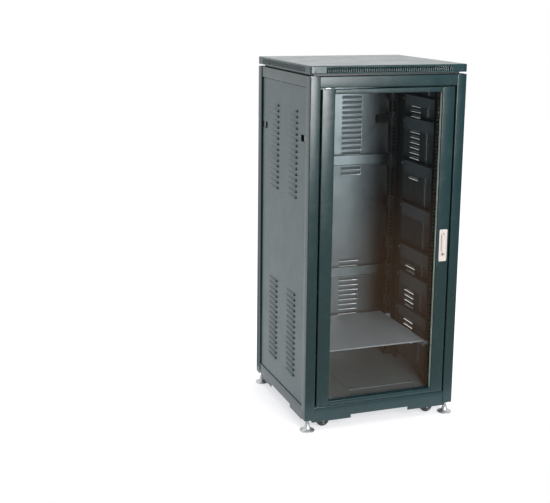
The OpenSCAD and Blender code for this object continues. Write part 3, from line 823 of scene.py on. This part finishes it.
for k, sx, sy in (("fl", -1, -1), ("fr", 1, -1), ("rl", -1, 1), ("rr", 1, 1)):
    m = Mesh()
    at = lambda x, y, z, sx=sx, sy=sy: (sx * 282 + x, sy * 254 + y, z)
    m.lathe([(0, 0), (25.0, 0), (26.6, 0.5), (27.4, 1.6), (27.5, 2.8), (27.1, 4.0), (25.8, 5.0), (22.5, 6.2), (18.5, 7.8), (15.2, 9.8), (12.6, 12.6),
             (10.8, 16.2), (9.7, 20.0), (9.2, 22.6), (8.6, 23.6), (7.2, 24.0), (0, 24.0)], 64, at)
    m.loops([[at(*p) for p in l] for l in hexa(14, 24.0, 30.0, 0.8, 0.3 * sx)])
    prof = [(0, 29)]
    z = 29.5
    while z < 91:
        prof += [(4.95, z), (4.95, z + 0.25), (4.25, z + 0.75), (4.25, z + 0.95)]
        z += 1.5
    prof += [(4.2, 91.8), (3.6, 92.8), (0, 93)]
    m.lathe(prof, 24, at)
    make("foot_" + k + "_v", m, m_foot, "foot_" + k, angle=32)

# ---- casters --------------------------------------------------------------
for k, sx, sy in (("fl", -1, -1), ("fr", 1, -1), ("rl", -1, 1), ("rr", 1, 1)):
    m = Mesh()
    cx, cz, cy = sx * 213.5, 27.0, sy * 229
    rot = lambda x, y, z, cx=cx, cy=cy, cz=cz: (cx + x, cy - z, cz + y)
    m.lathe([(15.5, -8.6), (17.5, -9.6), (20.5, -10.3), (22.8, -9.7), (24.2, -8.2), (24.85, -5.6), (25.0, -2.6), (25.0, 2.6), (24.85, 5.6), (24.2, 8.2),
             (22.8, 9.7), (20.5, 10.3), (17.5, 9.6), (15.5, 8.6)], 64, rot, 0)
    m.lathe([(3.6, -10.8), (6.6, -10.8), (7.2, -10.2), (7.6, -7.4), (9.0, -6.6), (13.6, -6.8), (14.6, -8.2), (15.9, -8.8), (15.9, 8.8), (14.6, 8.2), (13.6, 6.8),
             (9.0, 6.6), (7.6, 7.4), (7.2, 10.2), (6.6, 10.8), (3.6, 10.8), (3.6, -10.8)], 48, rot, 1)
    make("caster_wheel_" + k + "_v", m, [m_tyre, m_hub], "caster_wheel_" + k, angle=35)
    dress("caster_fork_" + k, m_fork, 0.5)
    m = Mesh()
    for t in (-1, 1):
        m.lathe([(0, 1.5), (3.4, 1.4), (5.2, 0.9), (5.6, 0.3), (5.6, 0)], 32, lambda x, y, z, t=t: (cx + x, cy + t * (14 + z), cz + y))
    ride_only("caster_axle_" + k + "_v", m, m_zinc, "caster_fork_" + k)

# ---- shelf ----------------------------------------------------------------
m = Mesh()
m.sweep(bent([(-196.2, 271), (-196.2, 275), (197.2, 275), (197.2, 271)], 1.5, 1.2, 5), -215, 215, lambda u, v, w: (w, u, v))
for s in (-1, 1):
    m.sweep(bent([(s * 208, 274.2), (s * 215.2, 274.2), (s * 215.2, 251)], 1.5, 0.9, 4), -195.4, 196.4, lambda u, v, w: (u, w, v))
    for y in (-196, 157):
        m.box(*sorted((s * 215.9, s * 241)), y - 1, y + 1, 258, 273.5)
make("shelf_v", m, m_shelf, "shelf", bevel=0.25)

# ---- screws ---------------------------------------------------------------
def screw(m, fn, r=5.0, h=2.6):
    m.lathe([(0, h * 0.80), (r * 0.22, h * 0.82), (r * 0.5, h), (r * 0.78, h * 0.84), (r * 0.95, h * 0.5), (r, h * 0.12), (r, 0)], 24, fn)
    # painted shade: near-black cross boxes in the head stand for the shaded drive recess
    for a, b in ((r * 0.5, 0.45), (0.45, r * 0.5)):
        pts = [(x, y, z) for x in (-a, a) for y in (-b, b) for z in (h * 0.6, h * 0.99)]
        m.add([fn(*p) for p in pts], [(0, 1, 3, 2), (4, 6, 7, 5), (0, 4, 5, 1), (2, 3, 7, 6), (0, 2, 6, 4), (1, 5, 7, 3)], 1)


DR = [[1146, 1184], [1052, 1097], [878, 925], [706, 755], [534, 584], [420, 474], [291, 331]]
m = Mesh()
for s in (-1, 1):
    for a, b in DR:
        screw(m, lambda x, y, z, s=s, b=b: (s * 244.5 + x, -195 - z, b - 14 + y))
        screw(m, lambda x, y, z, s=s, b=b: (s * (250 - z), 112 + x, b - 14 + y))
make("rail_screws_v", m, [m_zinc, m_painted_recess_shade], "rail_screws", angle=35)
m = Mesh()
for s in (-1, 1):
    for t in (-1, 1):
        screw(m, lambda x, y, z, s=s, t=t: (s * 281 + x, t * (275 + z * 0.6), 1306 + y), 3.5, 2.4)
for x0 in (-64, 184):
    for y0 in (-144, 144):
        screw(m, lambda x, y, z, x0=x0, y0=y0: (x0 + x, y0 + y, 96.5 + z), 4.5, 2.4)
make("cover_screws_v", m, [m_fork, m_painted_recess_shade], "cover_screws", angle=35)

# ---- CAD pieces that keep their shape ------------------------------------
for n, mt, bv in (
    ("floor_plate", m_in, 0.3), ("cable_entry_cover", m_in, 0.4), ("roof_plate", m_in, 0.0), ("roof_spacer", m_in, 0.5),
    ("depth_rails", m_rail, 0.35), ("rear_crossbars", m_rail, 0.35), ("front_mounting_rails", m_rail, 0.25), ("rear_mounting_rails", m_rail, 0.25),
    ("foot_nuts", m_zinc, 0.5), ("caster_plates", m_zinc, 0.4), ("hinge_brackets", m_fork, 0.3), ("hinge_pins", m_zinc, 0.3),
    ("door_back_frame", m_in, 0.2), ("glass_gasket", m_rubber, 0.2), ("hinge_bushes", m_nylon, 0.3),
    ("lock_spindle", m_zinc, 0.25), ("lock_cam", m_zinc, 0.3), ("lever_pin", m_zinc, 0.2),
    ("latch_guides_left", m_guide, 0.4), ("latch_guides_right", m_guide, 0.4), ("latch_guides_rear", m_guide, 0.4),
    ("latch_slider_lf", m_slider, 0.5), ("latch_slider_lr", m_slider, 0.5), ("latch_slider_rf", m_slider, 0.5),
    ("latch_slider_rr", m_slider, 0.5), ("latch_slider_bl", m_slider, 0.5), ("latch_slider_br", m_slider, 0.5)):
    dress(n, mt, bv)

# ----------------------------------------------------------------------------
# floor
# ----------------------------------------------------------------------------
def floor():
    me = bpy.data.meshes.new("floor")
    me.from_pydata([(-6, -0.50, 0), (6, -0.50, 0), (6, 9, 0), (-6, 9, 0)], [], [(0, 1, 2, 3)])
    n = NT("floor_white")
    c = n.mixc(n.rng(n.noise(0.6, 2.0), 0.3, 0.7, 0, 1), (0.49, 0.49, 0.495), (0.51, 0.51, 0.515))
    n.link(c, "Base Color")
    n.b.inputs["Roughness"].default_value = 0.6
    n.b.inputs["Specular IOR Level"].default_value = 0.1
    n.b.inputs["Emission Color"].default_value = (0.97, 0.97, 1.0, 1)
    n.b.inputs["Emission Strength"].default_value = 0.62
    me.materials.append(n.m)
    o = bpy.data.objects.new("floor", me)
    scene.collection.objects.link(o)


floor()

# two softboxes that only the inside of the cabinet receives: one for the rear, one for the right-hand wall
def inside_light(name, loc, target, size, power, names):
    l = area(name, loc, target, size, power, (0.86, 0.99, 1.08), size)
    c = bpy.data.collections.new(name + "_receivers")
    for nm in names:
        ob = bpy.data.objects.get(nm) or frame["nodes"].get(nm)
        if ob is not None:
            c.objects.link(ob)
    l.light_linking.receiver_collection = c


inside_light("fill_rear", (0.50, -3.2, 1.16), (0.0, 0.27, 0.85), 0.8, 900, ("rear_panel_v", "rear_panel_v_stiffener", "rear_crossbars"))
inside_light("fill_wall", (-1.00, -3.2, 0.80), (0.25, 0.0, 0.50), 1.0, 330, ("side_panel_right_v", "side_panel_right_v_stiffener", "depth_rails"))
inside_light("fill_shelf", (-0.35, -2.6, 1.45), (0.0, 0.0, 0.20), 0.8, 110, ("shelf_v",))
inside_light("fill_floor", (-0.25, -2.8, 1.00), (0.0, 0.0, 0.10), 0.8, 900, ("floor_plate", "cable_entry_cover"))

# the key softbox does not mirror itself in the door glass
no_key = bpy.data.collections.new("key_skips")
no_key.objects.link(bpy.data.objects["door_glass_v"])
KEY.light_linking.receiver_collection = no_key
no_key.collection_objects[0].light_linking.link_state = "EXCLUDE"
